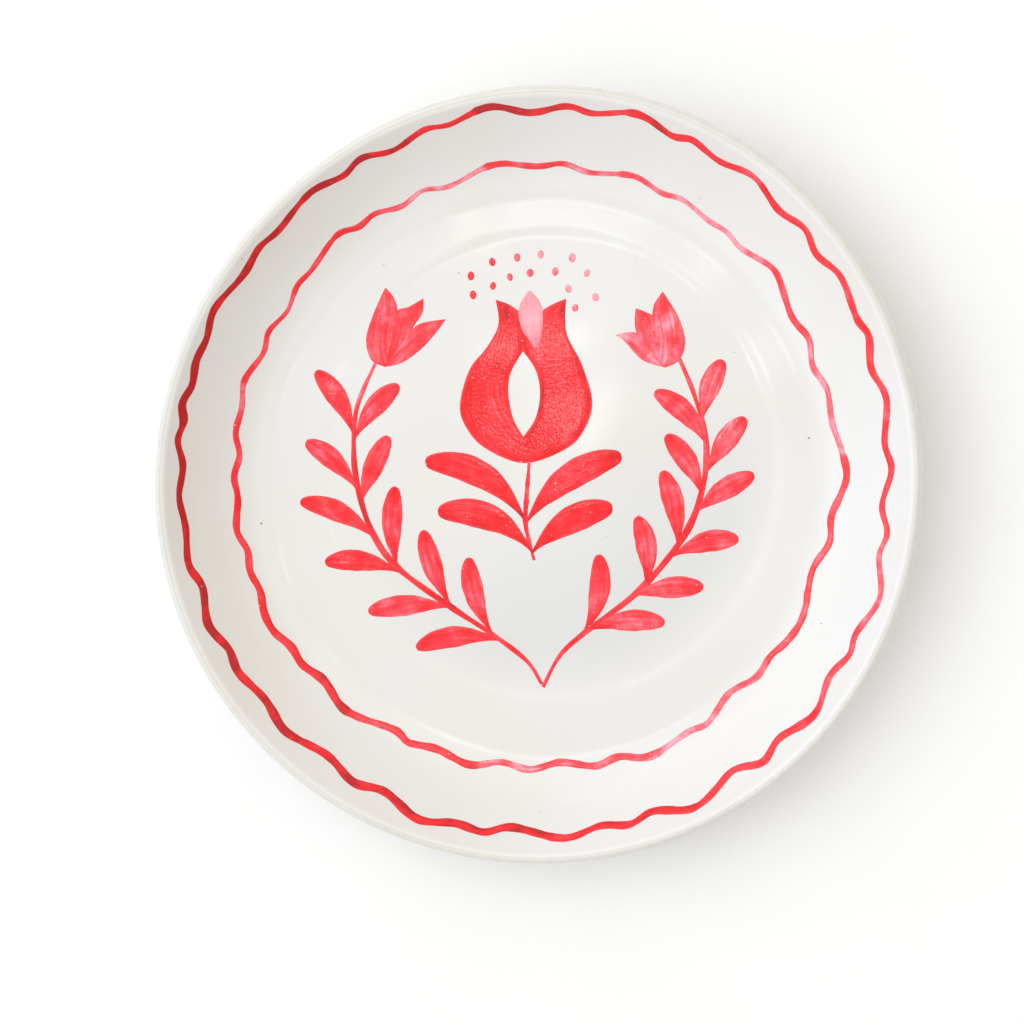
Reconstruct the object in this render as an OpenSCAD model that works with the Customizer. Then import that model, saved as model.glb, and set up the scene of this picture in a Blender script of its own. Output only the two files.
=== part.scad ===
// Hand painted ceramic plate: a low dish of pale glazed clay with a turned-up wall, a soft
// step round its centre and a foot ring, painted in red brush strokes.
// Each layer and each brush stroke is a solid of its own, lying face to face on the one below.

/* [Plate] */
// Diameter across the lip
plate_d = 240; // [230:1:280]
// Height from the table to the top of the lip
plate_h = 26; // [22:0.5:32]
// Thickness of the finished wall, clay and both glaze coats
wall_t = 4.4; // [3.6:0.1:5.4]
// Slope of the wall just below the lip, in degrees
rim_angle = 48; // [40:1:56]
// Radius of the flat bottom, where the wall starts to rise
bottom_r = 85; // [80:1:90]

/* [Centre] */
// Radius of the soft step round the centre
step_r = 73; // [68:0.5:76]
// Height of that step
step_h = 0.2; // [0.1:0.1:1.2]
// How far the centre is domed up
dome_h = 1.4; // [0:0.1:2]

/* [Foot ring] */
// Outer diameter of the foot ring
foot_d = 138; // [124:1:144]
// Width of the foot ring where it stands
foot_w = 6; // [4:0.5:8]
// Height of the foot ring
foot_h = 4; // [3:0.5:5]

/* [Coats] */
// Thickness of the glaze
glaze_t = 0.4; // [0.3:0.05:0.6]
// Thickness of the red brush strokes
paint_t = 0.25; // [0.2:0.05:0.4]

/* [Border lines] */
// Distance of the outer wavy line in from the edge of the plate, on average
outer_line_in = 7.5; // [7.5:0.5:9]
// Distance of the inner wavy line in from the edge of the plate, on average
inner_line_in = 25; // [23:0.5:26]
// Width of both lines
line_w = 1.9; // [1.2:0.1:2]

/* [Motif] */
// How far the motif sits to the right of the middle
motif_x = 1.5; // [-3:0.5:3]
// How far the motif sits above the middle
motif_y = 1.5; // [-3:0.5:3]
// Width of the vine stems where they are thickest
stem_w = 2; // [1.4:0.1:2.4]
// Width of a vine leaf
leaf_w = 6.6; // [5:0.1:7]
// Width of the four large leaves
big_leaf_w = 8.4; // [6:0.1:9]

/* [Hidden] */
$fn = 256;

glaze_colour = "#efede6";
clay_colour = "#c9b69a";
paint_colour = "#e0343c";
pale_paint_colour = "#f09aa2";

// ---- section of the plate: radius to the right, height up ----

lip_r = wall_t / 2;
wall_end_r = plate_d / 2 - lip_r * (1 + sin(rim_angle));
well_z = foot_h - glaze_t + wall_t;
wall_run = wall_end_r - bottom_r;
wall_rise = plate_h - lip_r * (1 - cos(rim_angle)) - well_z;
// The wall is a power curve, and this power gives it the rim angle at its end.
wall_power = tan(rim_angle) * wall_run / wall_rise;
step_half_w = 2;

function disc_z(r) = well_z - step_h + dome_h * (1 - pow(r / (step_r - step_half_w), 2));
function step_z(r) = well_z - step_h * cos(45 * (r - step_r + step_half_w) / step_half_w) ^ 2;
function wall_z(r) = well_z + wall_rise * pow(wall_share(r), wall_power);
function face_z(r) = r < step_r - step_half_w ? disc_z(r)
    : r < step_r + step_half_w ? step_z(r) : wall_z(r);

wall_steps = 14;
disc_radii = [for (i = [0:4]) (step_r - step_half_w) * i / 5];
step_radii = [for (i = [0:4]) step_r + step_half_w * (i / 2 - 1)];
wall_radii = [for (i = [0:wall_steps]) bottom_r + wall_run * i / wall_steps];
face_radii = concat(disc_radii, step_radii, wall_radii);

// Slope of the wall at radius r, in degrees, and the unit normal that points off the face there
function wall_share(r) = max(r - bottom_r, 0) / wall_run;
function wall_slope(r) = atan(tan(rim_angle) * pow(wall_share(r), wall_power - 1));
function off_face(a) = [-sin(a), cos(a)];

// Points of the face, moved in along the wall's normal by d
function face_line(d) = [for (r = face_radii) [r, face_z(r)] - d * off_face(wall_slope(r))];

// Points round half the lip, from angle a0 to a1, for a lip that is d thinner all round
lip_centre = [plate_d / 2 - lip_r, plate_h - lip_r];
function lip_arc(d, a0, a1) = [for (i = [0:8]) let (a = a0 + (a1 - a0) * i / 8)
    lip_centre + (lip_r - d) * [cos(a), sin(a)]];

// Points of the back, from the lip in to the flat underside
function back_line(d) = [for (i = [wall_steps:-1:0]) let (r = wall_radii[i])
    [r, face_z(r)] - (wall_t - d) * off_face(wall_slope(r))];

lip_face_angle = 90 + rim_angle;
lip_back_angle = rim_angle - 90;
function reversed(list) = [for (i = [len(list) - 1:-1:0]) list[i]];

// ---- brush work: flat shapes, then laid on the face ----

// Point at share t of the way from b to c, on the smooth curve that comes from a and goes to d
function between(t, a, b, c, d) = 0.5 * (2 * b + t * (c - a) + t ^ 2 * (2 * a - 5 * b + 4 * c - d)
    + t ^ 3 * (3 * b - a - 3 * c + d));

// Smooth curve through every point of the list, n steps between two points
function through(p, n = 5) = [
    for (i = [0:len(p) - 2]) for (j = [0:n - 1])
        between(j / n, p[max(i - 1, 0)], p[i], p[i + 1], p[min(i + 2, len(p) - 1)]),
    p[len(p) - 1]
];

function unit(v) = v / norm(v);
function left_of(v) = [-v[1], v[0]];
function heading(p, i) = unit(p[min(i + 1, len(p) - 1)] - p[max(i - 1, 0)]);

// Outline of a stroke along path p whose half widths are the list h
function stroke_outline(p, h) = concat(
    [for (i = [0:len(p) - 1]) p[i] + h[i] * left_of(heading(p, i))],
    [for (i = [len(p) - 1:-1:0]) p[i] - h[i] * left_of(heading(p, i))]
);

// A stem stroke, thickest at its middle, and with stem_end of that width at both ends
stem_end = 0.56;
module stem_shape(points, width) {
    path = through(points);
    last = len(path) - 1;
    half = [for (i = [0:last]) width / 2 * (stem_end + (1 - stem_end) * sin(180 * i / last))];
    polygon(stroke_outline(path, half));
}

// A leaf stroke from base to tip: its middle line bows to the left by bend (to the right
// where bend is negative). It leaves the stem thin, is widest past its middle and ends blunt.
leaf_steps = 14;
leaf_belly = 1.5;
leaf_base_power = 0.9;
leaf_tip_power = 0.34;
leaf_point = 0.02;
function leaf_power(t) = leaf_base_power + t * (leaf_tip_power - leaf_base_power);
function leaf_swell(t) = pow(max(sin(180 * pow(t, leaf_belly)), 0), leaf_power(t));
function leaf_half(t, width) = leaf_point + width / 2 * leaf_swell(t);
module leaf_shape(base, tip, width, bend) {
    across = left_of(unit(tip - base));
    path = [for (i = [0:leaf_steps]) let (t = i / leaf_steps)
        base + t * (tip - base) + 4 * bend * t * (1 - t) * across];
    polygon(stroke_outline(path, [for (i = [0:leaf_steps]) leaf_half(i / leaf_steps, width)]));
}

// Smooth closed curve through every point of the list, n steps between two points
function round_through(p, n) = [
    for (i = [0:len(p) - 1]) for (j = [0:n - 1])
        let (m = len(p))
        between(j / n, p[(i + m - 1) % m], p[i], p[(i + 1) % m], p[(i + 2) % m])
];

// A wavy border line of even width. Its turns are [direction in degrees, distance outside
// mean_r]: the crests and troughs that the brush swung through, one after the other.
steps_per_turn = 4;
module wave_shape(turns, mean_r) {
    path = round_through([for (w = turns) (mean_r + w[1]) * [cos(w[0]), sin(w[0])]], steps_per_turn);
    m = len(path);
    outward = [for (i = [0:m - 1]) -left_of(unit(path[(i + 1) % m] - path[(i + m - 1) % m]))];
    function side(k) = [for (i = [0:m - 1]) path[i] + k * outward[i]];
    difference() {
        polygon(side(line_w / 2));
        polygon(side(-line_w / 2));
    }
}

// Lays a flat shape on the face as a coat of paint of even thickness
module painted(colour = paint_colour) {
    color(colour) intersection() {
        rotate_extrude() polygon(concat(face_line(0), reversed(face_line(-paint_t))));
        linear_extrude(plate_h) children();
    }
}

// The same for a stroke of the motif, which has its own middle
module motif(colour = paint_colour) { painted(colour) translate([motif_x, motif_y]) children(); }

// ---- the painted strokes ----

outer_turns = [
    [-174, -0.5], [-168, 0.5], [-164, -1.5], [-158, 0.5], [-153, -1.5], [-149, -0.5], [-143, -2],
    [-138, -0.5], [-135, -1], [-129, -3], [-123, -1], [-118, -3], [-111, 0.5], [-105, -1.5],
    [-100, -0.5], [-96, -3], [-87, 0], [-81, -2.5], [-76, -1], [-72, -3], [-66, 0.5], [-62, -0.5],
    [-57, -3.5], [-52, 0], [-48, -2.5], [-41, 0.5], [-35, -3], [-30, -1], [-27, -2.5], [-20, 0.5],
    [-14, -3.5], [-10, -2], [-6, -5], [0, -2], [4, -4], [11, -1], [16, -3.5], [21, -0.5], [24, -2],
    [31, 0], [36, -2.5], [40, 0], [45, -2], [51, 1], [57, -1], [62, 1], [65, -0.5], [71, 2.5],
    [78, 0], [82, 1.5], [88, -0.5], [94, 2.5], [101, 0], [105, 1], [111, -1], [116, 1.5], [120, 0],
    [126, 2], [134, 0.5], [138, 1.5], [143, 0.5], [150, 2.5], [155, 1], [159, 1.5], [163, 0.5],
    [166, 2], [169, 0.5], [172, 1.5], [176, -0.5], [181, 0.5]
];
inner_turns = [
    [-178, 2.5], [-172, 4], [-168, 2], [-164, 3], [-160, 2], [-156, 3.5], [-152, 3.5], [-148, 1.5],
    [-144, 2], [-139, 0], [-132, 2], [-122, -2], [-119, -0.5], [-113, -2.5], [-106, -1], [-100, -4],
    [-94, -2.5], [-88, -5], [-81, -2.5], [-76, -4], [-70, -1], [-61, -3], [-57, -2], [-50, -5.5],
    [-44, -3], [-39, -4], [-35, -2.5], [-29, -2], [-20, -5], [-14, -2], [-9, -3], [-2, 1], [3, 0],
    [9, -2], [15, -1], [20, -3], [25, -0.5], [30, -2], [37, 1.5], [40, 2], [46, -0.5], [50, 0.5],
    [54, 0], [60, 1.5], [64, 0.5], [70, 2.5], [78, 0.5], [83, 2.5], [88, 1.5], [96, 3.5],
    [105, 0.5], [110, 2.5], [115, 1], [120, 3.5], [124, 3], [128, 5.5], [136, 3.5], [140, 4],
    [145, 2], [150, 4], [154, 2.5], [160, 5], [165, 3.5], [170, 4], [174, 2], [178, 3.5]
];

// Each leaf: where it leaves the stem, its tip, and how far it bows
left_outer_leaves = [
    [[-61, 14], [-73, 34.5], -1.7],
    [[-61, -3], [-77, 12], -1.7],
    [[-55.5, -19], [-79.5, -7], -2.5],
    [[-48, -30], [-72, -26.5], -2],
    [[-32, -41.5], [-58.5, -42.5], -1.4],
    [[-16, -52.5], [-43.5, -54.5], -2.6]
];
left_inner_leaves = [
    [[-60.5, 13], [-45.5, 29], 1.6],
    [[-59.5, -7.5], [-49.5, 13], 0.8],
    [[-48.5, -28], [-48, -3], 1.4],
    [[-32, -40.5], [-39.5, -17], 1.1],
    [[-19, -49.5], [-25, -26], 1.8]
];
right_outer_leaves = [
    [[50.5, 15], [57.5, 33], 1.1],
    [[51.5, -1], [64, 15], 0.8],
    [[47.5, -13.5], [66, -2.5], 1],
    [[40, -27], [60.5, -22.5], 1.7],
    [[27, -39], [49, -37], 1],
    [[13, -49.5], [36.5, -48], 1.8]
];
right_inner_leaves = [
    [[51.5, 7.5], [36, 24], -2.1],
    [[49.5, -8], [39, 10.5], -1.5],
    [[41.5, -24], [37.5, -0.5], -1.5],
    [[31, -36], [29, -14.5], -1.9],
    [[11, -50], [16.5, -26], -2.4]
];

// Leaf stroke number n of a vine, without the part that its stem covers
module left_leaf_shape(leaves, n) {
    difference() {
        leaf_shape(leaves[n - 1][0], leaves[n - 1][1], leaf_w, leaves[n - 1][2]);
        left_stem_shape();
    }
}
module right_leaf_shape(leaves, n) {
    difference() {
        leaf_shape(leaves[n - 1][0], leaves[n - 1][1], leaf_w, leaves[n - 1][2]);
        right_stem_shape();
    }
}

// Both vines start at the same point, under the heart shape that they make.
heart_tip = [-3, -67.5];
module left_stem_shape() {
    difference() {
        stem_shape([[-3.4, -66.5], [-8, -59], [-19, -50.2], [-31, -42], [-48.5, -28.5], [-56.5, -16.5],
            [-60.5, -2], [-61.2, 10], [-59.5, 23], [-53, 36.5]], stem_w);
        left_tulip_shape();
    }
}
module right_stem_shape() {
    difference() {
        stem_shape([heart_tip, [3, -57.5], [12, -49.8], [29, -37.5], [43.5, -21], [49.8, -6.5],
            [51.5, 8], [48.5, 22], [44, 34]], stem_w);
        left_stem_shape();
        right_tulip_shape();
    }
}

// Three-petalled tulips at the ends of the vines
module left_tulip_shape() {
    polygon(concat(
        through([[-49, 60.3], [-53.5, 51.5], [-56, 44], [-54.5, 37.5], [-50, 35], [-44, 36.2],
            [-37.5, 40.5], [-29.5, 49.3]]),
        [[-35, 48.8], [-39.5, 47.5], [-37.2, 51.5], [-36.6, 56.2], [-41.5, 53.8], [-45.3, 52.3],
            [-46.3, 56.8]]
    ));
}
module right_tulip_shape() {
    polygon(concat(
        through([[39.5, 54.8], [44.3, 46.5], [46, 39], [44, 33.5], [39, 31.4], [32.5, 34], [28, 39],
            [24.3, 42]]),
        [[28.5, 42.8], [31.8, 42], [30.5, 46], [31, 50], [34, 48.8], [36, 46.8], [36.8, 51.2]]
    ));
}

// Pomegranate: its sides run from one crown tip under the fruit to the other
module fruit_shape() {
    polygon(concat(
        through([[-13.3, 54.7], [-12.6, 47], [-16.5, 40], [-22.5, 33], [-26, 22], [-24, 14.5], [-18, 8],
            [-5.7, 3.2], [8, 7.5], [14, 13.8], [16.4, 22], [13.5, 33.5], [9, 43.5], [9.2, 54]], 7),
        [[4.5, 52.3], [1.2, 50.5], [-5.9, 50.8], [-9, 53]]
    ));
}
module crown_petal_shape() {
    polygon(concat(
        through([[-2.4, 57.2], [-5.2, 53.5], [-6.2, 49], [-4.5, 43.5], [-0.5, 38]]),
        through([[1.8, 44], [2.2, 49], [0.4, 54], [-2.3, 57.1]])
    ));
}
module fruit_eye_shape() {
    polygon(concat(
        through([[-5, 38.5], [-9, 32], [-10.2, 25.5], [-9, 17.5], [-6, 11.6]]),
        through([[-2, 17], [-0.2, 24.5], [-1.2, 32], [-4.9, 38.4]])
    ));
}
module fruit_stem_shape() {
    stem_shape([[-4.3, 4], [-5.6, -7], [-6.3, -15.5], [-5, -23], [-4, -27.3]], 1.6);
}
module big_leaf_shape(base, tip, bend) {
    difference() {
        leaf_shape(base, tip, big_leaf_w, bend);
        fruit_stem_shape();
        fruit_shape();
    }
}

// Seeds: short dabs of the brush above the crown
seed_w = 1.9;
seed_l = 2.5;
seed_places = [
    [-21, 62.5], [-20.5, 56.5], [-14, 66.5], [-14, 59], [-8.5, 61.5], [-6, 67.5], [-2, 62.5],
    [1.5, 68], [6, 62.5], [11.5, 66.5], [10, 57], [16, 61.5], [18.5, 54], [12, 51]
];
module seed_shapes() {
    for (p = seed_places)
        translate(p)
            polygon([for (a = [0:30:330]) [seed_w / 2 * cos(a), seed_l / 2 * sin(a)]]);
}

// ---- the nodes ----

// Clay under the glaze, without its foot
module clay_body() {
    color(clay_colour) rotate_extrude() polygon(concat(
        face_line(glaze_t),
        lip_arc(glaze_t, lip_face_angle, lip_back_angle),
        back_line(glaze_t),
        [[0, foot_h]]
    ));
}

// Bare clay ring that the plate stands on, with its two lower edges eased
foot_ease = 0.8;
foot_flare = 0.6;
module foot_ring() {
    outer = foot_d / 2;
    inner = outer - foot_w;
    color(clay_colour) rotate_extrude() polygon([
        [inner - foot_flare, foot_h],
        [inner, foot_ease],
        [inner + foot_ease, 0],
        [outer - foot_ease, 0],
        [outer, foot_ease],
        [outer + foot_flare, foot_h]
    ]);
}

module face_glaze() {
    color(glaze_colour) rotate_extrude() polygon(concat(
        face_line(0),
        lip_arc(0, lip_face_angle, 90),
        reversed(lip_arc(glaze_t, lip_face_angle, 90)),
        reversed(face_line(glaze_t))
    ));
}

module back_glaze() {
    foot_join_r = foot_d / 2 + foot_flare;
    color(glaze_colour) rotate_extrude() polygon(concat(
        lip_arc(0, 90, lip_back_angle),
        back_line(0),
        [[foot_join_r, foot_h - glaze_t], [foot_join_r, foot_h]],
        reversed(back_line(glaze_t)),
        reversed(lip_arc(glaze_t, 90, lip_back_angle))
    ));
}

module foot_well_glaze() {
    color(glaze_colour) translate([0, 0, foot_h - glaze_t])
        cylinder(h = glaze_t, r = foot_d / 2 - foot_w - foot_flare);
}

module outer_wave_line() { painted() wave_shape(outer_turns, plate_d / 2 - outer_line_in); }
module inner_wave_line() { painted() wave_shape(inner_turns, plate_d / 2 - inner_line_in); }

module pomegranate() {
    motif() difference() {
        fruit_shape();
        crown_petal_shape();
        fruit_eye_shape();
    }
}
module pomegranate_crown_petal() { motif(pale_paint_colour) crown_petal_shape(); }
module pomegranate_stem() {
    motif() difference() {
        fruit_stem_shape();
        fruit_shape();
    }
}
module pomegranate_leaf_upper_left() { motif() big_leaf_shape([-6.3, -15], [-38, 4.5], -5.6); }
module pomegranate_leaf_upper_right() { motif() big_leaf_shape([-6.1, -15.5], [25, 4.5], 4); }
module pomegranate_leaf_lower_left() { motif() big_leaf_shape([-4.6, -24.5], [-34.5, -11.5], -4.8); }
module pomegranate_leaf_lower_right() { motif() big_leaf_shape([-4.6, -25], [21.5, -11.5], 3); }
module seed_dots() { motif() seed_shapes(); }

module left_vine_stem() { motif() left_stem_shape(); }
module right_vine_stem() { motif() right_stem_shape(); }
module left_tulip() { motif() left_tulip_shape(); }
module right_tulip() { motif() right_tulip_shape(); }

clay_body();
foot_ring();
face_glaze();
back_glaze();
foot_well_glaze();
outer_wave_line();
inner_wave_line();
pomegranate();
pomegranate_crown_petal();
pomegranate_stem();
pomegranate_leaf_upper_left();
pomegranate_leaf_upper_right();
pomegranate_leaf_lower_left();
pomegranate_leaf_lower_right();
seed_dots();
left_vine_stem();
right_vine_stem();
left_tulip();
right_tulip();
for (n = [1:6]) {
    motif() left_leaf_shape(left_outer_leaves, n);
    motif() right_leaf_shape(right_outer_leaves, n);
}
for (n = [1:5]) {
    motif() left_leaf_shape(left_inner_leaves, n);
    motif() right_leaf_shape(right_inner_leaves, n);
}
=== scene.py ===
"""Hand painted ceramic plate: pale glazed dish with red brush strokes on its face.

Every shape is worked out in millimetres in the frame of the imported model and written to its
mesh in metres. The dish is a body of revolution that is then pulled slightly out of round by
one function, handmade(), and each brush stroke is a thin coat laid on that same surface.
"""

import math

import bpy
import numpy as np
from mathutils import Matrix, Vector


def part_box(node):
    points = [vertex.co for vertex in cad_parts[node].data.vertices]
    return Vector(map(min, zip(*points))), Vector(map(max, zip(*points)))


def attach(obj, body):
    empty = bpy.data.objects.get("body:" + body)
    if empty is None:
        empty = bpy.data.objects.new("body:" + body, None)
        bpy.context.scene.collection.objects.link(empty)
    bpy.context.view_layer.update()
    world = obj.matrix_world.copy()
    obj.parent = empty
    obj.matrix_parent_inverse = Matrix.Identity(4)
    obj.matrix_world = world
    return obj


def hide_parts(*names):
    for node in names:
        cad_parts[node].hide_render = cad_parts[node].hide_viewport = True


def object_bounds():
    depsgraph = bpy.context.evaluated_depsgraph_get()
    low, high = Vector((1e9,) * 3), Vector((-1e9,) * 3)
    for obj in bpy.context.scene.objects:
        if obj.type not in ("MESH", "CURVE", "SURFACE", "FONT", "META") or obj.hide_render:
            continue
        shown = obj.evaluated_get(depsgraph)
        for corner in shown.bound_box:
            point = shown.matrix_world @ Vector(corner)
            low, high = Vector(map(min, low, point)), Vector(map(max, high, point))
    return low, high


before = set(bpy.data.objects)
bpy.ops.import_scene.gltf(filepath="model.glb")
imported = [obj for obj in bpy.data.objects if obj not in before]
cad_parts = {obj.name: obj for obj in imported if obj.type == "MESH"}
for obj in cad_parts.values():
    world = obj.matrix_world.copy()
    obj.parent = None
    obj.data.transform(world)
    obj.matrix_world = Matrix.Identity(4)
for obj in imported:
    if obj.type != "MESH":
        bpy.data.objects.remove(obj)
cad_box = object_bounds()

MM = 0.001

# ---- sizes, in mm: from the frame, then the maker's own ----

PLATE_R = (cad_box[1][0] - cad_box[0][0]) / 2 / MM
PLATE_H = cad_box[1][2] / MM
FOOT_LOW, FOOT_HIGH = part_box("foot_ring")
FOOT_R = FOOT_HIGH[0] / MM
FOOT_H = FOOT_HIGH[2] / MM
FOOT_W = 6.0
FOOT_FLARE = 0.6
GLAZE_T = FOOT_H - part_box("back_glaze")[0][2] / MM
WALL_T = 4.4
LIP_R = WALL_T / 2
RIM_ANGLE = math.radians(48)
BOTTOM_R = 85.0
STEP_R = 73.0
STEP_HALF_W = 2.0
STEP_H = 0.2
DOME_H = 1.4
STEP_CENTRE = (2.4, 3.8)
MOTIF_AT = (1.5, 1.5)

WELL_Z = FOOT_H - GLAZE_T + WALL_T
WALL_END_R = PLATE_R - LIP_R * (1 + math.sin(RIM_ANGLE))
WALL_RUN = WALL_END_R - BOTTOM_R
WALL_RISE = PLATE_H - LIP_R * (1 - math.cos(RIM_ANGLE)) - WELL_Z
WALL_POWER = math.tan(RIM_ANGLE) * WALL_RUN / WALL_RISE

STROKE_T = 0.2
STROKE_SINK = 0.08
LAPPED_UNDER = -0.05
LAPPED_OVER = 0.06

# radius of the smallest ring of a turned surface, whose middle is closed by a fan
MIDDLE_R = 0.6
# points round the axis
FACE_STEPS = 384
BACK_STEPS = 320
FOOT_STEPS = 256
HIDDEN_STEPS = 160


# ---- the dish as a surface ----

def wall_share(r):
    """How far up the wall radius r is: 0 on the flat, 1 at the end of the wall."""
    return np.clip(r - BOTTOM_R, 0, None) / WALL_RUN


def wall_angle(r):
    """Slope of the wall at radius r, in radians."""
    return np.arctan(WALL_RISE * WALL_POWER / WALL_RUN * wall_share(r) ** (WALL_POWER - 1))


def centre_drop(x, y):
    """Height of the centre against the flat: a low dome inside a soft step, half a cosine wide."""
    r = np.hypot(x - STEP_CENTRE[0], y - STEP_CENTRE[1])
    dome = DOME_H * (1 - np.clip(r / (STEP_R - STEP_HALF_W), 0, 1) ** 2)
    across = np.clip((r - STEP_R) / STEP_HALF_W, -1, 1)
    return dome - STEP_H * (1 - np.sin(across * math.pi / 2)) / 2


def face_z(x, y):
    """Height of the glazed face over the plate's own round plan: wall plus centre."""
    return WELL_Z + WALL_RISE * wall_share(np.hypot(x, y)) ** WALL_POWER + centre_drop(x, y)


def out_of_round(theta):
    """How far the rim stands outside its true circle: an oval, a three-sided and a shifted part."""
    oval = 1.37 * np.cos(2 * theta - math.radians(75))
    three_sided = 0.73 * np.cos(3 * theta - math.radians(221))
    shifted = 0.34 * np.cos(theta - math.radians(28))
    return 0.3 + oval + three_sided + shifted


RIPPLE_COUNT = 16
SHORTEST_RIPPLE = 24
LONGEST_RIPPLE = 78
RIPPLE_STEEPNESS = 0.0009


def random_ripples():
    """Direction, wavelength in mm, height in mm and phase of the hand-thrown unevenness."""
    rng = np.random.default_rng(7)
    waves = np.linspace(SHORTEST_RIPPLE, LONGEST_RIPPLE, RIPPLE_COUNT)
    headings = rng.uniform(0, 2 * math.pi, RIPPLE_COUNT)
    phases = rng.uniform(0, 2 * math.pi, RIPPLE_COUNT)
    return np.stack([headings, waves, RIPPLE_STEEPNESS * waves, phases], 1)


RIPPLES = random_ripples()
THROWING_PITCH = 7.5
THROWING_H = 0.018
THROWING_FROM_R = 78
THROWING_FADE = 20


def unevenness(x, y):
    """Sum of sixteen long ripples in all directions, and faint throwing rings on the wall."""
    total = np.zeros_like(x)
    for heading, length, height, phase in RIPPLES:
        along = x * math.cos(heading) + y * math.sin(heading)
        total = total + height * np.sin(2 * math.pi * along / length + phase)
    r = np.hypot(x, y)
    on_wall = np.clip((r - THROWING_FROM_R) / THROWING_FADE, 0, 1)
    return total + THROWING_H * np.sin(2 * math.pi * r / THROWING_PITCH) * on_wall


RIM_LIFT = 0.45
RIM_LIFT_TURN = 0.6


def handmade(points):
    """Pulls points of the round dish out of round and out of level, as an array (..., 3).

    Radius times (1 + out_of_round / R * (r / R)^3); height plus two soft lifts of the rim that
    grow with (r / R)^4 and the unevenness, both fading out below the foot's top.
    """
    x, y, z = points[..., 0], points[..., 1], points[..., 2]
    r = np.hypot(x, y)
    theta = np.arctan2(y, x)
    stretch = 1 + out_of_round(theta) / PLATE_R * (r / PLATE_R) ** 3
    lift = RIM_LIFT * np.cos(2 * theta - RIM_LIFT_TURN) * (r / PLATE_R) ** 4
    above_foot = np.clip(z / FOOT_H, 0, 1)
    return np.stack([x * stretch, y * stretch, z + above_foot * (lift + unevenness(x, y))], -1)


def on_face(x, y, height):
    """Point of the finished dish that is height above the face, along the wall's own normal."""
    r = np.hypot(x, y)
    a = wall_angle(r)
    inward = np.sin(a) * height / np.maximum(r, 1e-6)
    raised = np.stack([x - x * inward, y - y * inward, face_z(x, y) + np.cos(a) * height], -1)
    return handmade(raised)


# ---- meshes ----

def grid(points, wrap_u=False, wrap_v=False, cap_start=False, cap_end=False, **values):
    """Faces over points (n_u, n_v, 3), with a fan to a middle point where an end is capped.

    Further arrays (n_u, n_v) or (n_u, n_v, 3) become values of the same name on the vertices.
    """
    n_u, n_v = points.shape[:2]
    index = np.arange(n_u * n_v).reshape(n_u, n_v)
    a = index if wrap_u else index[:-1]
    b = np.roll(index, -1, 0) if wrap_u else index[1:]
    if wrap_v:
        quads = np.stack([a, b, np.roll(b, -1, 1), np.roll(a, -1, 1)], -1)
    else:
        quads = np.stack([a[:, :-1], b[:, :-1], b[:, 1:], a[:, 1:]], -1)
    verts = points.reshape(-1, 3)
    data = {name: value.reshape(n_u * n_v, -1) for name, value in values.items()}
    tris = []
    for row, wanted, order in ((0, cap_start, 1), (-1, cap_end, -1)):
        if wanted:
            ring = index[row]
            middle = len(verts)
            verts = np.vstack([verts, points[row].mean(0)])
            data = {name: np.vstack([value, value[ring].mean(0)]) for name, value in data.items()}
            after = np.roll(ring, -1)
            tris.append(np.stack([np.full(n_v, middle), ring, after][::order], -1))
    fans = np.vstack(tris) if tris else None
    return {"verts": verts, "quads": quads.reshape(-1, 4), "tris": fans, "data": data}


def outward(patch):
    """Turns a closed patch's faces round if its signed volume is negative."""
    v = patch["verts"]
    tris = [patch["quads"][:, [0, 1, 2]], patch["quads"][:, [0, 2, 3]]]
    if patch["tris"] is not None:
        tris.append(patch["tris"])
    t = v[np.vstack(tris)]
    volume = np.einsum("ij,ij->i", t[:, 0], np.cross(t[:, 1], t[:, 2])).sum()
    if volume < 0:
        patch["quads"] = patch["quads"][:, ::-1]
        if patch["tris"] is not None:
            patch["tris"] = patch["tris"][:, ::-1]
    return patch


def piece(name, patches, material, node):
    """One smooth-shaded object from closed patches, standing for a CAD node."""
    verts, faces, data, start = [], [], {}, 0
    for patch in map(outward, patches):
        faces += (patch["quads"] + start).tolist()
        if patch["tris"] is not None:
            faces += (patch["tris"] + start).tolist()
        verts.append(patch["verts"])
        for key, value in patch["data"].items():
            data.setdefault(key, []).append(value)
        start += len(patch["verts"])
    mesh = bpy.data.meshes.new(name)
    mesh.from_pydata((np.vstack(verts) * MM).tolist(), [], faces)
    for key, parts in data.items():
        values = np.vstack(parts).astype(np.float32)
        kind = "FLOAT_VECTOR" if values.shape[1] == 3 else "FLOAT"
        attribute = mesh.attributes.new(key, kind, "POINT")
        attribute.data.foreach_set("vector" if kind == "FLOAT_VECTOR" else "value", values.ravel())
    mesh.shade_smooth()
    mesh.materials.append(material)
    mesh.update()
    obj = bpy.data.objects.new(name, mesh)
    bpy.context.scene.collection.objects.link(obj)
    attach(obj, "root")
    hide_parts(node)
    return obj


# ---- materials ----

def linear(hex_colour):
    """sRGB hex to linear RGBA."""
    parts = [int(hex_colour[i:i + 2], 16) / 255 for i in (1, 3, 5)]
    return [p / 12.92 if p <= 0.04045 else ((p + 0.055) / 1.055) ** 2.4 for p in parts] + [1.0]


def add(tree, kind, links=(), **settings):
    """Adds a node: settings by attribute name or input name (spaces as _), links as {input: socket}."""
    node = tree.nodes.new(kind)
    for key, value in settings.items():
        name = key.replace("_", " ")
        if hasattr(node, key) and key not in node.inputs:
            setattr(node, key, value)
        else:
            node.inputs[name].default_value = value
    for target, socket in dict(links).items():
        tree.links.new(socket, node.inputs[target])
    return node


def new_material(name, **surface):
    """A Principled material and its node tree, with the uniform values set on the shader itself."""
    material = bpy.data.materials.new(name)
    material.use_nodes = True
    tree = material.node_tree
    shader = tree.nodes["Principled BSDF"]
    for key, value in surface.items():
        shader.inputs[key.replace("_", " ")].default_value = value
    return material, tree, shader


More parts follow.
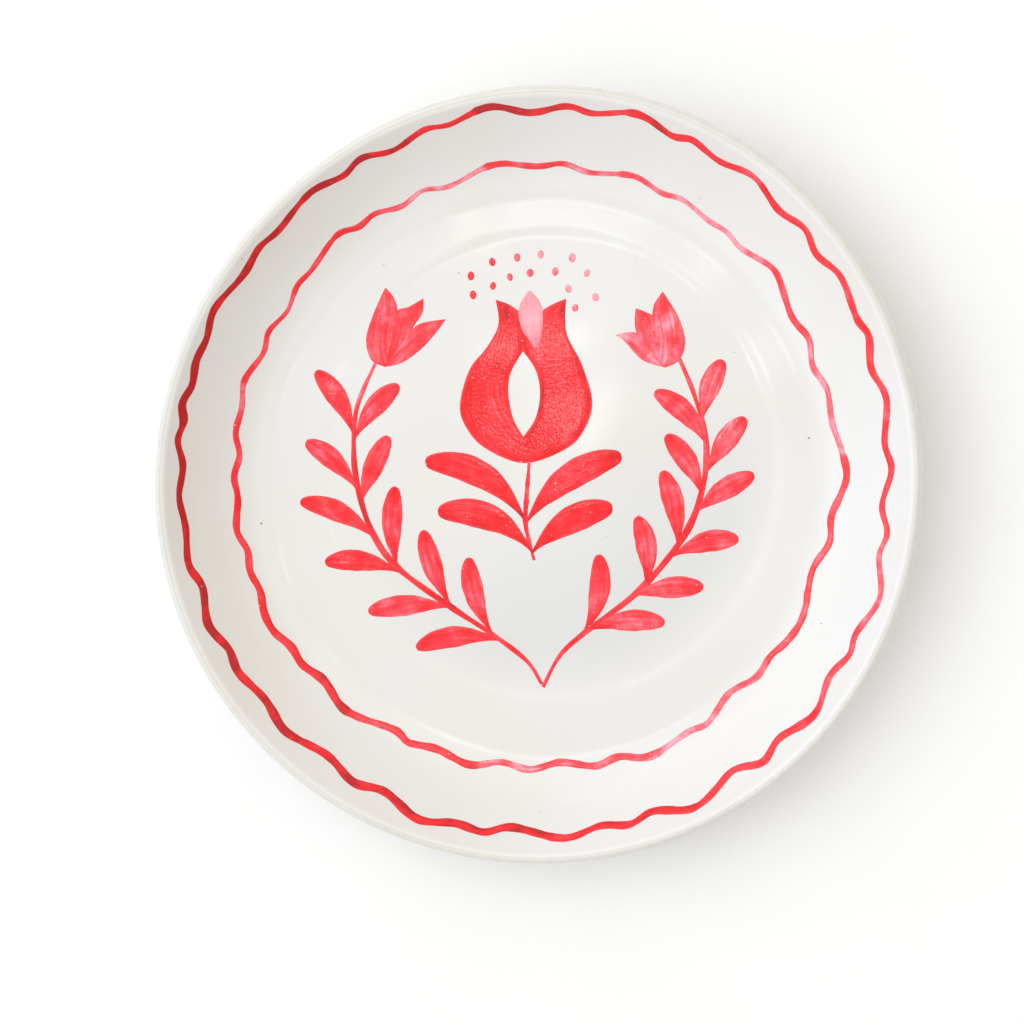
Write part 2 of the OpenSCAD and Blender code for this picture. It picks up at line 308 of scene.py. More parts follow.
def ramp(tree, socket, *stops):
    """Colour ramp over (position, hex colour) stops."""
    node = add(tree, "ShaderNodeValToRGB", {"Fac": socket})
    elements = node.color_ramp.elements
    for i, (at, colour) in enumerate(stops):
        element = elements[i] if i < 2 else elements.new(at)
        element.position = at
        element.color = linear(colour)
    return node.outputs["Color"]


def maths(tree, operation, a, b=None, c=None, clamp=False):
    """One Math node; a, b and c are sockets or numbers."""
    node = add(tree, "ShaderNodeMath", operation=operation, use_clamp=clamp)
    for i, value in enumerate((a, b, c)):
        if value is None:
            continue
        if isinstance(value, (int, float)):
            node.inputs[i].default_value = value
        else:
            tree.links.new(value, node.inputs[i])
    return node.outputs[0]


def mix(tree, factor, a, b):
    """Colour mix; a and b are hex colours or sockets."""
    node = add(tree, "ShaderNodeMix", data_type="RGBA")
    for index, value in ((0, factor), (6, a), (7, b)):
        if isinstance(value, str):
            node.inputs[index].default_value = linear(value)
        elif isinstance(value, (int, float)):
            node.inputs[index].default_value = value
        else:
            tree.links.new(value, node.inputs[index])
    return node.outputs[2]


def noise(tree, vector, size_mm, detail=2.0, roughness=0.5):
    """Noise whose features are size_mm across on Object coordinates."""
    node = add(tree, "ShaderNodeTexNoise", {"Vector": vector}, Scale=1 / (size_mm * MM), Detail=detail,
               Roughness=roughness)
    return node.outputs["Fac"]


def dots(tree, vector, spacing_mm, radius_mm, share):
    """Round dots: one chance per cell of spacing_mm, taken in share of the cells, radius_mm at most."""
    cells = add(tree, "ShaderNodeTexVoronoi", {"Vector": vector}, Scale=1 / (spacing_mm * MM), feature="F1")
    pick = add(tree, "ShaderNodeSeparateColor", {"Color": cells.outputs["Color"]})
    taken = maths(tree, "GREATER_THAN", pick.outputs[0], 1 - share)
    largest = radius_mm / spacing_mm
    radius = maths(tree, "MULTIPLY_ADD", pick.outputs[1], 0.7 * largest, 0.3 * largest)
    away = maths(tree, "DIVIDE", cells.outputs["Distance"], radius)
    inside = maths(tree, "SUBTRACT", 1.0, away, clamp=True)
    soft = maths(tree, "MULTIPLY", inside, 2.5, clamp=True)
    return maths(tree, "MULTIPLY", soft, taken)


def bump(tree, shader, height, distance_mm):
    """Fine relief: the height socket, 0 to 1, stands for distance_mm."""
    node = add(tree, "ShaderNodeBump", {"Height": height}, Strength=1.0, Distance=distance_mm * MM)
    tree.links.new(node.outputs["Normal"], shader.inputs["Normal"])


def object_coords(tree):
    """The place on the piece, in metres, that every pattern is drawn in."""
    return add(tree, "ShaderNodeTexCoord").outputs["Object"]


def milky_glaze():
    """Tin-white glaze, dipped and fired glossy over a pale body: off-white that drifts a little
    to cream, sparse iron specks burnt through from the clay, a faint orange peel. Over the
    lip it runs thin, so the clay's colour shows there."""
    material, tree, shader = new_material("milky_white_glaze", Roughness=0.07, IOR=1.52)
    at = object_coords(tree)
    base = ramp(tree, noise(tree, at, 70, detail=3), (0.3, "#e6e4df"), (0.7, "#e9e9e8"))
    cloud = noise(tree, at, 9, detail=4, roughness=0.6)
    base = mix(tree, maths(tree, "MULTIPLY", cloud, 0.12), base, "#d9d5ca")
    faint = dots(tree, at, 4.2, 0.3, 0.3)
    base = mix(tree, maths(tree, "MULTIPLY", faint, 0.35), base, "#b3a894")
    specks = dots(tree, at, 11, 0.5, 0.4)
    base = mix(tree, maths(tree, "MULTIPLY", specks, 0.75), base, "#7d7161")
    # painted shade: the glaze is mixed greyer inside the centre's ring, towards the lower right
    pooled = add(tree, "ShaderNodeAttribute", attribute_name="pooled").outputs["Fac"]
    base = mix(tree, maths(tree, "MULTIPLY", pooled, 0.6), base, "#d6d7d6")
    thin = add(tree, "ShaderNodeAttribute", attribute_name="thin").outputs["Fac"]
    broken = maths(tree, "MULTIPLY", maths(tree, "MULTIPLY_ADD", noise(tree, at, 3), 0.8, 0.25), thin)
    base = mix(tree, maths(tree, "MULTIPLY", broken, 0.35), base, "#b9ac96")
    tree.links.new(base, shader.inputs["Base Color"])
    gloss = maths(tree, "MULTIPLY_ADD", noise(tree, at, 24), 0.08, 0.11)
    tree.links.new(gloss, shader.inputs["Roughness"])
    bump(tree, shader, noise(tree, at, 2.6, detail=3), 0.018)
    return material


def brushed_red(name, stops):
    """Red underglaze colour with a glossy skin, brushed on thin: it streaks along the stroke,
    pools darker at its edges and where the brush was full, and has pale pinholes."""
    material, tree, shader = new_material(name, Roughness=0.09, IOR=1.52)
    at = object_coords(tree)
    load = add(tree, "ShaderNodeAttribute", attribute_name="load").outputs["Fac"]
    edge = add(tree, "ShaderNodeAttribute", attribute_name="edge").outputs["Fac"]
    stroke = add(tree, "ShaderNodeAttribute", attribute_name="stroke").outputs["Vector"]
    lines = add(tree, "ShaderNodeTexNoise", {"Vector": stroke}, Scale=1.0, Detail=2.0, Roughness=0.5)
    streak = lines.outputs["Fac"]
    blotch = noise(tree, at, 6.5, detail=4, roughness=0.55)
    grain = noise(tree, at, 0.9, detail=2)
    tone = maths(tree, "MULTIPLY_ADD", maths(tree, "SUBTRACT", streak, 0.5), 0.9, load)
    tone = maths(tree, "MULTIPLY_ADD", maths(tree, "SUBTRACT", blotch, 0.5), 1.45, tone)
    tone = maths(tree, "MULTIPLY_ADD", maths(tree, "SUBTRACT", grain, 0.5), 0.25, tone)
    # the pigment's own pooling, darker toward the stroke's edges
    pooled = maths(tree, "POWER", edge, 5.0)
    tone = maths(tree, "MULTIPLY_ADD", pooled, 0.15, tone)
    red = ramp(tree, maths(tree, "MULTIPLY", tone, 0.8), *stops)
    bleed = maths(tree, "MULTIPLY", maths(tree, "SUBTRACT", edge, 0.94), 9.0, clamp=True)
    red = mix(tree, maths(tree, "MULTIPLY", bleed, 0.35), red, "#f7b4b6")
    pinholes = dots(tree, at, 1.8, 0.3, 0.17)
    red = mix(tree, maths(tree, "MULTIPLY", pinholes, 0.75), red, "#f6dcd8")
    tree.links.new(red, shader.inputs["Base Color"])
    height = maths(tree, "MULTIPLY_ADD", grain, 0.6, maths(tree, "MULTIPLY", streak, 0.4))
    bump(tree, shader, height, 0.07)
    return material


def turned_clay():
    """Fired buff clay, turned on the wheel and left bare: matt and gritty."""
    material, tree, shader = new_material("bare_turned_clay", Roughness=0.85, IOR=1.45)
    at = object_coords(tree)
    body = ramp(tree, noise(tree, at, 12, detail=4), (0.3, "#c3ab88"), (0.7, "#d2bea0"))
    grit = dots(tree, at, 1.6, 0.3, 0.35)
    body = mix(tree, maths(tree, "MULTIPLY", grit, 0.6), body, "#8f7758")
    tree.links.new(body, shader.inputs["Base Color"])
    bump(tree, shader, noise(tree, at, 0.7, detail=4, roughness=0.7), 0.12)
    return material


# ---- the dish: body, foot and glaze coats ----

def profile_face(inset, steps):
    """Radius and height along the face, from the middle to the end of the wall, moved in by inset."""
    past_step = STEP_R + 6
    centre_r, wall_r = np.linspace(MIDDLE_R, past_step, steps), np.linspace(past_step, WALL_END_R, steps)
    r = np.concatenate([centre_r, wall_r[1:]])
    a = wall_angle(r)
    z = WELL_Z + WALL_RISE * wall_share(r) ** WALL_POWER
    return np.stack([r + inset * np.sin(a), z - inset * np.cos(a)], 1)


def profile_lip(inset, start, stop, steps=14):
    """Arc round the lip between two angles in degrees, for a lip that is inset thinner."""
    a = np.radians(np.linspace(start, stop, steps))
    centre = np.array([PLATE_R - LIP_R, PLATE_H - LIP_R])
    return centre + (LIP_R - inset) * np.stack([np.cos(a), np.sin(a)], 1)


def profile_back(inset, steps, r_end):
    """Radius and height along the back, from under the lip in to radius r_end on the flat."""
    r = np.linspace(WALL_END_R, BOTTOM_R, steps)
    a = wall_angle(r)
    z = WELL_Z + WALL_RISE * wall_share(r) ** WALL_POWER
    wall = np.stack([r + (WALL_T - inset) * np.sin(a), z - (WALL_T - inset) * np.cos(a)], 1)
    flat_r = np.linspace(BOTTOM_R, r_end, 10)
    flat = np.stack([flat_r, np.full(len(flat_r), FOOT_H - GLAZE_T + inset)], 1)
    return np.vstack([wall, flat[1:]])


def turned(profile, steps, face_rows=0):
    """Profile carried round the axis, as (n_profile, steps, 3). The first face_rows of it follow
    the centre's dome and step too; then the whole is pulled by handmade()."""
    theta = np.linspace(0, 2 * math.pi, steps, endpoint=False)
    r = profile[:, 0][:, None]
    z = np.broadcast_to(profile[:, 1][:, None], (len(profile), steps))
    points = np.stack([r * np.cos(theta), r * np.sin(theta), z], -1)
    points[:face_rows, :, 2] += centre_drop(points[:face_rows, :, 0], points[:face_rows, :, 1])
    return handmade(points)


RIM_BACK_ANGLE = math.degrees(RIM_ANGLE) - 90
RIM_FACE_ANGLE = math.degrees(RIM_ANGLE) + 90


THIN_AT = (PLATE_R - 0.8, PLATE_H - 0.4)
THIN_W = 2.6
# painted shade on the glaze inside the centre's ring: its direction, how far short of the middle it starts,
# its run and its fade at the ring
PAINTED_SHADE_TOWARD = (0.45, -0.89)
PAINTED_SHADE_BEFORE_MIDDLE = 4
PAINTED_SHADE_RUN = 45
PAINTED_SHADE_FADE = 14


def lip_share(profile, steps):
    """1 on the top of the lip, falling to 0 over THIN_W down either side of it."""
    away = np.hypot(profile[:, 0] - THIN_AT[0], profile[:, 1] - THIN_AT[1])
    return np.repeat(np.clip(1 - away / THIN_W, 0, 1)[:, None], steps, 1)


def pooled_share(x, y):
    """How much painted shade the glaze carries: 0 outside the centre's ring and up to
    PAINTED_SHADE_BEFORE_MIDDLE short of the middle, and from there rising to 1 over
    PAINTED_SHADE_RUN toward PAINTED_SHADE_TOWARD."""
    inside_ring = np.clip((STEP_R - np.hypot(x - STEP_CENTRE[0], y - STEP_CENTRE[1])) / PAINTED_SHADE_FADE, 0, 1)
    along = PAINTED_SHADE_TOWARD[0] * x + PAINTED_SHADE_TOWARD[1] * y
    return inside_ring * np.clip((along + PAINTED_SHADE_BEFORE_MIDDLE) / PAINTED_SHADE_RUN, 0, 1)


def clay_body():
    """Clay inside the coats: face, lip and back, each one glaze thickness in."""
    face = profile_face(GLAZE_T, 36)
    profile = np.vstack([face, profile_lip(GLAZE_T, RIM_FACE_ANGLE, RIM_BACK_ANGLE)[1:],
                         profile_back(GLAZE_T, 24, MIDDLE_R)[1:]])
    return grid(turned(profile, HIDDEN_STEPS, len(face)), wrap_v=True, cap_start=True, cap_end=True)


def face_glaze():
    """Coat over the face, up to the top of the lip: outer side fine, hidden side coarse.
    Inside the centre's ring it carries a painted shade, a little greyer towards the lower right."""
    top = profile_face(0, 78)
    outer = np.vstack([top, profile_lip(0, RIM_FACE_ANGLE, 90)[1:]])
    under = profile_face(GLAZE_T, 20)
    inner = np.vstack([under, profile_lip(GLAZE_T, RIM_FACE_ANGLE, 90, 5)[1:]])[::-1]
    outer_side = turned(outer, FACE_STEPS, len(top))
    hidden_side = turned(inner, FACE_STEPS)
    hidden_side[-len(under):] = turned(under[::-1], FACE_STEPS, len(under))
    points = np.concatenate([outer_side, hidden_side])
    # painted shade: greyer glaze inside the centre's ring towards the lower right
    return grid(points, wrap_v=True, cap_start=True, cap_end=True,
                pooled=pooled_share(points[..., 0], points[..., 1]),
                thin=lip_share(np.vstack([outer, inner]), FACE_STEPS))


def back_glaze():
    """Coat over the back, from the top of the lip to the foot: a closed ring of coats."""
    outer = np.vstack([profile_lip(0, 90, RIM_BACK_ANGLE), profile_back(0, 44, FOOT_R)[1:]])
    inner = np.vstack([profile_lip(GLAZE_T, 90, RIM_BACK_ANGLE, 5), profile_back(GLAZE_T, 16, FOOT_R)[1:]])
    profile = np.vstack([outer, inner[::-1]])
    return grid(turned(profile, BACK_STEPS), wrap_u=True, wrap_v=True, thin=lip_share(profile, BACK_STEPS))


def foot_ring():
    """Turned ring with flared sides and rounded lower edges, its bottom flat on the table."""
    ease = 1.1
    outer_r, inner_r = FOOT_R - FOOT_FLARE, FOOT_R - FOOT_FLARE - FOOT_W
    corner = np.radians(np.linspace(0, 90, 7))
    outer = np.stack([outer_r - ease + ease * np.cos(corner), ease - ease * np.sin(corner)], 1)
    inner = np.stack([inner_r + ease - ease * np.sin(corner), ease - ease * np.cos(corner)], 1)
    profile = np.vstack([[[outer_r + FOOT_FLARE, FOOT_H]], outer, inner, [[inner_r - FOOT_FLARE, FOOT_H]]])
    return grid(turned(profile, FOOT_STEPS), wrap_u=True, wrap_v=True)


def foot_well_glaze():
    """Thin disc of glaze inside the foot."""
    r = np.linspace(MIDDLE_R, FOOT_R - 2 * FOOT_FLARE - FOOT_W, 40)
    low = np.stack([r, np.full(len(r), FOOT_H - GLAZE_T)], 1)
    high = np.stack([r[::-1], np.full(len(r), FOOT_H)], 1)
    return grid(turned(np.vstack([low, high]), HIDDEN_STEPS), wrap_v=True, cap_start=True, cap_end=True)


# ---- brush strokes ----

def through(points, n):
    """Smooth curve through every point, n steps between two: the cubic whose slope at a point
    is half the step from the point before to the point after."""
    p = np.asarray(points, float)
    p = np.vstack([p[0], p, p[-1]])
    a, b, c, d = p[:-3, None], p[1:-2, None], p[2:-1, None], p[3:, None]
    t = np.linspace(0, 1, n, endpoint=False)[None, :, None]
    square, cube = 2 * a - 5 * b + 4 * c - d, 3 * b - a - 3 * c + d
    curve = 0.5 * (2 * b + t * (c - a) + t * t * square + t ** 3 * cube)
    return np.vstack([curve.reshape(-1, p.shape[1]), p[-2:-1]])


def left_of(path):
    """Unit vectors that point to the left of a path's heading."""
    heading = np.gradient(path, axis=0)
    heading /= np.linalg.norm(heading, axis=1, keepdims=True)
    return np.stack([-heading[:, 1], heading[:, 0]], 1)


def even(path, n):
    """The path again, in n points an even distance apart."""
    step = np.linalg.norm(np.diff(path, axis=0), axis=1)
    at = np.concatenate([[0], np.cumsum(step)])
    wanted = np.linspace(0, at[-1], n)
    return np.stack([np.interp(wanted, at, path[:, i]) for i in (0, 1)], 1)


STREAK_ALONG = 0.08
STREAK_ACROSS = 0.95
FULL_HEIGHT_W = 1.6
# each stroke's streaks start somewhere else in the noise, up to this far along it
SEED_RANGE = 90


def coat(left, right, load, seed, rows=11, layer=0.0, closed=False):
    """Thin closed coat between two edge curves (n, 2) on the face.

    Across it, s runs from -1 at the right edge to 1 at the left edge. Its top is a pillow,
    thickness * (1 - s^6) * (0.85 + 0.3 s^2), which is lower where the coat is narrow, and its
    bottom lies just under the glaze. Values: load of the brush, edge = |s|, and stroke, the
    place along and across in mm, squeezed so that noise on it makes streaks.
    """
    n = len(left)
    s = np.linspace(-1, 1, rows)
    # more rows near the edges, where the pillow falls away
    s = np.sin(s * math.pi / 2)
    half = (left - right) / 2
    middle = (left + right) / 2
    plan = middle[:, None] + s[None, :, None] * half[:, None]
    width = 2 * np.linalg.norm(half, axis=1)
    room = np.clip(width / FULL_HEIGHT_W, 0, 1)[:, None] ** 0.7
    pillow = (1 - np.abs(s) ** 6) * (0.85 + 0.3 * s ** 2)
    height = (STROKE_T + layer) * room * pillow[None, :]
    top = on_face(plan[..., 0], plan[..., 1], height)
    low = on_face(plan[..., 0], plan[..., 1], np.full_like(height, -STROKE_SINK))
    ring = np.concatenate([top, low[:, ::-1]], 1)
    step = np.linalg.norm(np.gradient(middle, axis=0), axis=1)
    along = np.cumsum(step)[:, None] + 0 * s[None, :]
    across = (width[:, None] / 2) * s[None, :]
    stroke = np.stack([along * STREAK_ALONG, across * STREAK_ACROSS, 0 * along + seed], -1)
    stroke = np.concatenate([stroke, stroke[:, ::-1]], 1)
    edge = np.abs(s)[None, :] + 0 * along
    edge = np.concatenate([edge, edge[:, ::-1]], 1)
    loads = np.broadcast_to(np.asarray(load, float).reshape(n, 1), (n, 2 * rows))
    return grid(ring, wrap_u=closed, wrap_v=True, cap_start=not closed, cap_end=not closed,
                load=loads.copy(), edge=edge, stroke=stroke)


def in_motif(points):
    """Moves points of the motif, which has its own middle, to where it is painted."""
    return np.asarray(points, float) + np.array(MOTIF_AT)


LEAF_BELLY = 1.45
LEAF_BASE_POWER = 0.9
LEAF_TIP_POWER = 0.42
BIG_LEAF_TIP_POWER = 0.36
LEAF_WAVERS = (1.5, 2.7, 4.6)


def leaf(base, tip, width, bend, load, rng, steps=44, tip_power=LEAF_TIP_POWER):
    """Leaf stroke: the middle line is a parabola from base to tip that bows to its left by bend,
    the half width is width / 2 * sin(pi t^LEAF_BELLY) to a power that falls from base to tip, and
    both edges waver a little. The brush is pressed full at the stem and again at the tip."""
    base, tip = in_motif(base), in_motif(tip)
    t = 0.5 - 0.5 * np.cos(np.linspace(0, math.pi, steps))
    run = tip - base
    across = np.array([-run[1], run[0]]) / np.linalg.norm(run)
    path = base + t[:, None] * run + (4 * bend * t * (1 - t))[:, None] * across
    power = LEAF_BASE_POWER + t * (tip_power - LEAF_BASE_POWER)
    half = width / 2 * np.clip(np.sin(math.pi * t ** LEAF_BELLY), 0, 1) ** power + 0.35 * (1 - t) ** 3 + 0.02
    side = left_of(path)
    edges = []
    for sign in (1, -1):
        wave = sum(rng.uniform(0.02, 0.07) * np.sin(2 * math.pi * (k * t + rng.uniform()))
                   for k in LEAF_WAVERS)
        edges.append(path + sign * (half * (1 + 0.03 * wave) + wave * np.sin(math.pi * t))[:, None] * side)
    pressed = 0.4 * np.exp(-t / 0.16) + 0.24 * np.exp(-(1 - t) / 0.1) - 0.08 * np.sin(math.pi * t)
    return coat(edges[0], edges[1], load + pressed, rng.uniform(0, SEED_RANGE))


STEM_END = 0.56


def stem(points, width, load, rng):
    """Stem stroke along a smooth path, thickest at its middle, its load wandering slowly."""
    path = even(through(in_motif(points), 10), 120)
    t = np.linspace(0, 1, len(path))
    half = width / 2 * (STEM_END + (1 - STEM_END) * np.sin(math.pi * t))
    slow = 0.1 * np.sin(2 * math.pi * (5 * t + rng.uniform()))
    quick = 0.06 * np.sin(2 * math.pi * (11 * t + rng.uniform()))
    half = half * (1 + slow + quick)
    side = left_of(path)
    wander = load + 0.12 * np.sin(2 * math.pi * (2.3 * t + rng.uniform())) + 0.3 * np.sin(math.pi * t) - 0.15
    return coat(path + half[:, None] * side, path - half[:, None] * side, wander,
                rng.uniform(0, SEED_RANGE), rows=7, layer=LAPPED_UNDER)


def border_line(node, brush, rng):
    """Wavy line: its middle is the CAD line's own, read from the frame by direction.

    brush lists (direction in degrees, load, width in mm) round the line: where the brush was
    dipped the line starts dark and full, then it pales clockwise to the next dip.
    """
    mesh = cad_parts[node].data
    points = np.empty(len(mesh.vertices) * 3, np.float32)
    mesh.vertices.foreach_get("co", points)
    points = points.reshape(-1, 3)[:, :2] / MM
    theta = np.arctan2(points[:, 1], points[:, 0])
    r = np.hypot(points[:, 0], points[:, 1])
    bins, least_width = 720, 1.0
    slot = ((theta + math.pi) / (2 * math.pi) * bins).astype(int) % bins
    centre = np.full(bins, np.nan)
    for b in np.unique(slot):
        inside = r[slot == b]
        if inside.max() - inside.min() > least_width:
            centre[b] = (inside.max() + inside.min()) / 2
    known = np.flatnonzero(~np.isnan(centre))
    n = 1440
    at = (np.arange(n) + 0.5) * bins / n
    middle_r = np.interp(at, known + 0.5, centre[known], period=bins)
    angle = at / bins * 2 * math.pi - math.pi
    kernel = np.hanning(13)
    kernel /= kernel.sum()
    reach = len(kernel) // 2
    middle_r = np.convolve(np.concatenate([middle_r[-reach:], middle_r, middle_r[:reach]]), kernel, "valid")
    path = middle_r[:, None] * np.stack([np.cos(angle), np.sin(angle)], 1)
    heading = np.roll(path, -1, 0) - np.roll(path, 1, 0)
    heading /= np.linalg.norm(heading, axis=1, keepdims=True)
    side = np.stack([-heading[:, 1], heading[:, 0]], 1)
    degrees = np.degrees(angle)
    at_load, loads, widths = np.array(brush, float).T
    load = np.interp(degrees, at_load, loads, period=360)
    width = np.interp(degrees, at_load, widths, period=360)
    uneven = 1 + 0.07 * np.sin(angle * 41 + 1) + 0.05 * np.sin(angle * 97)
    half = width * uneven / 2
    return coat(path + half[:, None] * side, path - half[:, None] * side, load,
                rng.uniform(0, SEED_RANGE), rows=9, closed=True)


SEED_LONG = 1.26
SEED_SHORT = 1.02


def seed_dab(x, y, size, load, rng):
    """Short dab of the brush: a low oval mound, slightly turned, with a closed flat underside."""
    long, short = SEED_LONG * size, SEED_SHORT * size
    phi = np.linspace(0, 2 * math.pi, 28, endpoint=False)
    rho = np.concatenate([[0.12, 0.3, 0.5, 0.7, 0.85, 0.95, 1.0], [1.0, 0.6, 0.12]])
    lean = rng.uniform(-0.25, 0.25)
    u, v = short * np.cos(phi), long * np.sin(phi) * (1 + 0.07 * np.cos(2 * phi + rng.uniform(0, 6)))
    ring = np.stack([u * math.cos(lean) - v * math.sin(lean), u * math.sin(lean) + v * math.cos(lean)], 1)
    plan = np.array([x, y]) + rho[:, None, None] * ring[None]
    height = np.concatenate([STROKE_T * (1 - rho[:7] ** 4), np.full(3, -STROKE_SINK)])
    points = on_face(plan[..., 0], plan[..., 1], height[:, None] + 0 * plan[..., 0])
    shape = points.shape[:2]
    seed = rng.uniform(0, SEED_RANGE)
    stroke = np.stack([0.3 * plan[..., 1], 0.9 * plan[..., 0], 0 * plan[..., 0] + seed], -1)
    return grid(points, wrap_v=True, cap_start=True, cap_end=True, load=np.full(shape, load),
                edge=np.broadcast_to(rho[:, None], shape).copy(), stroke=stroke)


def joined(pieces, counts):
    """Open curve made of smooth stretches that meet in sharp corners, each with its own count."""
    parts = [even(through(p, 12), n + 1) for p, n in zip(pieces, counts)]
    return np.vstack([part[:-1] for part in parts[:-1]] + [parts[-1]])


def sharp_band(outer, inner, load, rng):
    """Coat between an outer curve and an inner curve with corners, both lists of stretches."""
    n = [count for _, count in inner]
    inner_line = in_motif(joined([p for p, _ in inner], n))
    outer_line = in_motif(even(through(outer, 16), len(inner_line)))
    return coat(outer_line, inner_line, np.full(len(inner_line), load), rng.uniform(0, SEED_RANGE), rows=41)


# ---- the painting, in the motif's own mm ----

# Border lines, all the way round: direction in degrees, load of the brush, width in mm
OUTER_BRUSH = (
    (-174, 1.3, 1.6), (-166, 1.1, 1.9), (-150, 1.25, 2.2), (-149, 1.0, 2.0), (-135, 1.2, 2.3),
    (-134, 0.95, 2.0), (-119, 1.1, 2.4), (-105, 0.95, 2.2), (-89, 1.15, 2.3), (-88, 0.85, 2.0),
    (-65, 1.0, 2.3), (-64, 0.7, 2.1), (-41, 0.7, 2.4), (-40, 0.42, 2.1), (-14, 0.36, 1.8),
    (0, 0.66, 2.0), (7, 0.78, 2.3), (8, 0.45, 2.1), (24, 0.75, 2.5), (25, 0.55, 2.1),
    (49, 0.85, 2.0), (50, 0.6, 1.7), (72, 1.15, 2.1), (73, 0.7, 1.6), (96, 1.3, 2.2),
    (97, 0.8, 1.5), (127, 1.4, 1.9), (128, 1.1, 1.6), (144, 1.4, 2.0), (145, 1.2, 1.7),
    (169, 1.5, 2.1), (170, 1.3, 1.7),
)
INNER_BRUSH = (
    (-176, 0.85, 2.0), (-166, 0.5, 2.0), (-152, 1.1, 2.3), (-151, 0.6, 2.3), (-139, 1.05, 2.6),
    (-132, 1.25, 2.6), (-131, 0.6, 2.2), (-110, 0.85, 2.4), (-105, 0.9, 2.4), (-104, 0.25, 2.0),
    (-84, 0.42, 2.3), (-68, 0.42, 2.4), (-67, 0.12, 1.9), (-50, 0.28, 2.0), (-36, 0.62, 2.2),
    (-29, 0.56, 2.3), (-28, 0.42, 2.0), (-8, 0.62, 2.2), (2, 0.6, 2.3), (3, 0.06, 1.9),
    (20, 0.28, 1.9), (30, 0.48, 2.1), (41, 0.42, 1.9), (42, 0.08, 1.7), (57, 0.0, 1.5),
    (72, 0.5, 1.8), (73, 0.12, 1.5), (97, 0.68, 2.0), (98, 0.04, 1.5), (110, 0.2, 1.4),
    (128, 0.72, 2.0), (129, 0.48, 1.6), (141, 0.62, 1.7), (142, 0.4, 1.3), (160, 0.6, 1.9),
    (161, 0.22, 1.7),
)

# Vine leaves: where each leaves its stem, its tip, and how far it bows to its left
VINE_LEAF_W = 6.7
LEFT_OUTER = (
    ((-61, 14), (-73, 34.5), -1.7), ((-61, -3), (-77, 12), -1.7),
    ((-55.5, -19), (-79.5, -7), -2.5), ((-48, -30), (-72, -26.5), -2),
    ((-32, -41.5), (-58.5, -42.5), -1.4), ((-16, -52.5), (-43.5, -54.5), -2.6),
)
LEFT_INNER = (
    ((-60.5, 13), (-45.5, 29), 1.6), ((-59.5, -7.5), (-49.5, 13), 0.8), ((-48.5, -28), (-48, -3), 1.4),
    ((-32, -40.5), (-39.5, -17), 1.1), ((-19, -49.5), (-25, -26), 1.8),
)
RIGHT_OUTER = (
    ((50.5, 15), (57.5, 33), 1.1), ((51.5, -1), (64, 15), 0.8), ((47.5, -13.5), (66, -2.5), 1),
    ((40, -27), (60.5, -22.5), 1.7), ((27, -39), (49, -37), 1), ((13, -49.5), (36.5, -48), 1.8),
)
RIGHT_INNER = (
    ((51.5, 7.5), (36, 24), -2.1), ((49.5, -8), (39, 10.5), -1.5), ((41.5, -24), (37.5, -0.5), -1.5),
    ((31, -36), (29, -14.5), -1.9), ((11, -50), (16.5, -26), -2.4),
)
# Stems, from the bottom up for the vines and from the fruit down for its own
STEM_W = 2.1
FRUIT_STEM_W = 1.6
LEFT_STEM = ((-3.4, -66.5), (-8, -59), (-19, -50.2), (-31, -42), (-48.5, -28.5), (-56.5, -16.5),
             (-60.5, -2), (-61.2, 10), (-59.5, 23), (-53, 36.5))
RIGHT_STEM = ((-3, -67.5), (3, -57.5), (12, -49.8), (29, -37.5), (43.5, -21), (49.8, -6.5),
              (51.5, 8), (48.5, 22), (44, 34))
FRUIT_STEM = ((-4.3, 4), (-5.6, -7), (-6.3, -15.5), (-5, -23), (-4, -27.3))
BIG_LEAF_W = 8.8
BIG_LEAF_LOAD = 0.8
FRUIT_LOAD = 0.84
LOAD_SPREAD = 0.12
BIG_LEAVES = {
    "pomegranate_leaf_upper_left": ((-6.3, -15), (-38, 4.5), -5.6),
    "pomegranate_leaf_upper_right": ((-6.1, -15.5), (25, 4.5), 4),
    "pomegranate_leaf_lower_left": ((-4.6, -24.5), (-34.5, -11.5), -4.8),
    "pomegranate_leaf_lower_right": ((-4.6, -25), (21.5, -11.5), 3),
}
SEEDS = ((-21, 62.5), (-20.5, 56.5), (-14, 66.5), (-14, 59), (-8.5, 61.5), (-6, 67.5), (-2, 62.5),
         (1.5, 68), (6, 62.5), (11.5, 66.5), (10, 57), (16, 61.5), (18.5, 54), (12, 51))
FIRST_SEED_X = -20
FIRST_SEED_LOAD = 0.66
SEED_LOAD_FALL = 0.021


def petal(left, right, load, rng, layer=0.0):
    """One petal: a stroke between its left and right edge, both drawn from the stem to the tip.
    The brush is full at the stem, thins over the belly and is pressed once more at the tip."""
    left_edge, right_edge = (in_motif(even(through(edge, 14), 46)) for edge in (left, right))
    t = np.linspace(0, 1, len(left_edge))
    pressed = 0.34 * np.exp(-t / 0.2) + 0.26 * np.exp(-(1 - t) / 0.14)
    return coat(left_edge, right_edge, load + pressed, rng.uniform(0, SEED_RANGE), rows=15, layer=layer)


def left_tulip(rng):
    """Middle petal first, then the two that lap over its sides; together they fill the cup."""
    middle = petal(((-50, 35.2), (-48.5, 43), (-46.2, 52), (-41.5, 53.8), (-36.6, 56.2)),
                   ((-50, 35.2), (-44, 39.5), (-40.2, 47.2), (-37.2, 51.5), (-36.6, 56.2)),
                   0.5, rng, LAPPED_UNDER)
    near = petal(((-50, 35), (-54.5, 37.5), (-56, 44), (-53.5, 51.5), (-49, 60.3)),
                 ((-49.6, 35.1), (-46.8, 44), (-45.3, 52.3), (-46.3, 56.8), (-49, 60.3)), 0.4, rng)
    far = petal(((-50.2, 35.1), (-45.4, 41.5), (-39.5, 47.5), (-35, 48.8), (-29.5, 49.3)),
                ((-50, 35), (-44, 36.2), (-37.5, 40.5), (-33, 45), (-29.5, 49.3)), 0.42, rng)
    return [middle, near, far]


